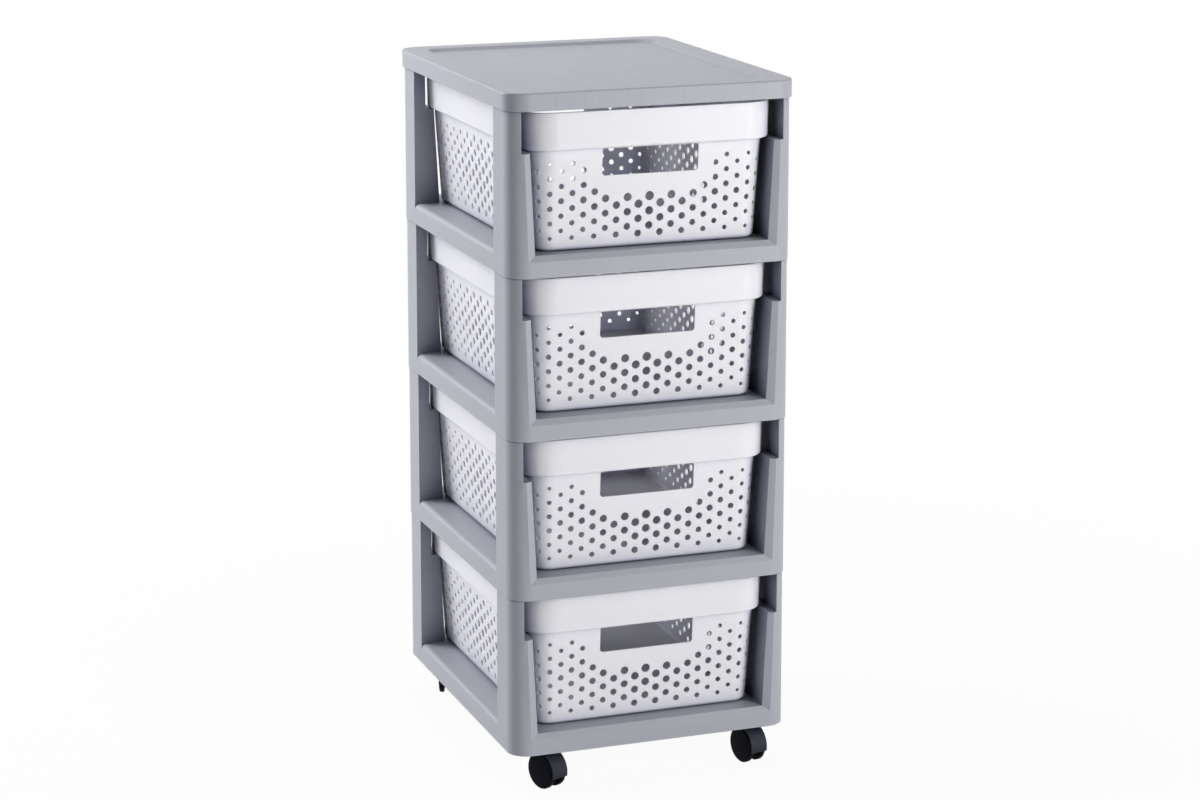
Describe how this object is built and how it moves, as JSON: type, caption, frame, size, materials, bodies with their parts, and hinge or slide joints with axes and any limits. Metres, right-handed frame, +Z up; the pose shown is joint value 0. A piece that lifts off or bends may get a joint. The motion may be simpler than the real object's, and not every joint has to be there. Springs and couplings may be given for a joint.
{
  "type": "drawer tower",
  "caption": "Rolling plastic tower of open grey frames under a flat lid, each frame holding a white perforated pull-out basket, on small black twin-wheel casters.",
  "frame": {"origin": "on the floor, under the middle of the tower", "axes": "+Z up, -Y towards the front where the baskets pull out, +X to the right seen from the front"},
  "size_m": [0.3042, 0.3768, 0.7176],
  "materials": {
    "frame_plastic": "fine satin moulded, mid grey",
    "basket_plastic": "smooth satin moulded, white",
    "caster_plastic": "fine textured, near black",
    "wheel_plastic": "satin, black",
    "steel_pin": "bright drawn wire"
  },
  "bodies": {
    "tower": {"top_lid": "frame_plastic", "frame_1": "frame_plastic", "frame_2": "frame_plastic", "frame_3": "frame_plastic", "frame_4": "frame_plastic", "stem_front_left": "steel_pin", "stem_front_right": "steel_pin", "stem_rear_left": "steel_pin", "stem_rear_right": "steel_pin"},
    "drawer_1": {"basket_1": "basket_plastic"},
    "drawer_2": {"basket_2": "basket_plastic"},
    "drawer_3": {"basket_3": "basket_plastic"},
    "drawer_4": {"basket_4": "basket_plastic"},
    "swivel_front_left": {"caster_front_left": "caster_plastic", "axle_front_left": "steel_pin"},
    "roller_front_left_a": {"wheel_front_left_a": "wheel_plastic"},
    "roller_front_left_b": {"wheel_front_left_b": "wheel_plastic"},
    "swivel_front_right": {"caster_front_right": "caster_plastic", "axle_front_right": "steel_pin"},
    "roller_front_right_a": {"wheel_front_right_a": "wheel_plastic"},
    "roller_front_right_b": {"wheel_front_right_b": "wheel_plastic"},
    "swivel_rear_left": {"caster_rear_left": "caster_plastic", "axle_rear_left": "steel_pin"},
    "roller_rear_left_a": {"wheel_rear_left_a": "wheel_plastic"},
    "roller_rear_left_b": {"wheel_rear_left_b": "wheel_plastic"},
    "swivel_rear_right": {"caster_rear_right": "caster_plastic", "axle_rear_right": "steel_pin"},
    "roller_rear_right_a": {"wheel_rear_right_a": "wheel_plastic"},
    "roller_rear_right_b": {"wheel_rear_right_b": "wheel_plastic"}
  },
  "joints": [
    {"name": "drawer_1_slide", "type": "slide", "parent": "tower", "child": "drawer_1", "axis": [0, -1, 0], "range_m": [0, 0.26]},
    {"name": "drawer_2_slide", "type": "slide", "parent": "tower", "child": "drawer_2", "axis": [0, -1, 0], "range_m": [0, 0.26]},
    {"name": "drawer_3_slide", "type": "slide", "parent": "tower", "child": "drawer_3", "axis": [0, -1, 0], "range_m": [0, 0.26]},
    {"name": "drawer_4_slide", "type": "slide", "parent": "tower", "child": "drawer_4", "axis": [0, -1, 0], "range_m": [-0.006, 0.254]},
    {"name": "swivel_front_left_turn", "type": "hinge", "parent": "tower", "child": "swivel_front_left", "pos_m": [-0.112, -0.15725, 0.03], "axis": [0, 0, 1], "continuous": true},
    {"name": "wheel_front_left_a_spin", "type": "hinge", "parent": "swivel_front_left", "child": "roller_front_left_a", "pos_m": [-0.10167, -0.16386, 0.019], "axis": [0.9272, 0.3746, 0], "continuous": true},
    {"name": "wheel_front_left_b_spin", "type": "hinge", "parent": "swivel_front_left", "child": "roller_front_left_b", "pos_m": [-0.11484, -0.16918, 0.019], "axis": [0.9272, 0.3746, 0], "continuous": true},
    {"name": "swivel_front_right_turn", "type": "hinge", "parent": "tower", "child": "swivel_front_right", "pos_m": [0.112, -0.15725, 0.03], "axis": [0, 0, 1], "continuous": true},
    {"name": "wheel_front_right_a_spin", "type": "hinge", "parent": "swivel_front_right", "child": "roller_front_right_a", "pos_m": [0.12117, -0.1654, 0.019], "axis": [0.9744, 0.225, 0], "continuous": true},
    {"name": "wheel_front_right_b_spin", "type": "hinge", "parent": "swivel_front_right", "child": "roller_front_right_b", "pos_m": [0.10733, -0.16859, 0.019], "axis": [0.9744, 0.225, 0], "continuous": true},
    {"name": "swivel_rear_left_turn", "type": "hinge", "parent": "tower", "child": "swivel_rear_left", "pos_m": [-0.112, 0.15725, 0.03], "axis": [0, 0, 1], "continuous": true},
    {"name": "wheel_rear_left_a_spin", "type": "hinge", "parent": "swivel_rear_left", "child": "roller_rear_left_a", "pos_m": [-0.10875, 0.14542, 0.019], "axis": [0.9397, -0.342, 0], "continuous": true},
    {"name": "wheel_rear_left_b_spin", "type": "hinge", "parent": "swivel_rear_left", "child": "roller_rear_left_b", "pos_m": [-0.12209, 0.15028, 0.019], "axis": [0.9397, -0.342, 0], "continuous": true},
    {"name": "swivel_rear_right_turn", "type": "hinge", "parent": "tower", "child": "swivel_rear_right", "pos_m": [0.112, 0.15725, 0.03], "axis": [0, 0, 1], "continuous": true},
    {"name": "wheel_rear_right_a_spin", "type": "hinge", "parent": "swivel_rear_right", "child": "roller_rear_right_a", "pos_m": [0.11994, 0.14791, 0.019], "axis": [0.9962, 0.0872, 0], "continuous": true},
    {"name": "wheel_rear_right_b_spin", "type": "hinge", "parent": "swivel_rear_right", "child": "roller_rear_right_b", "pos_m": [0.1058, 0.14667, 0.019], "axis": [0.9962, 0.0872, 0], "continuous": true}
  ]
}
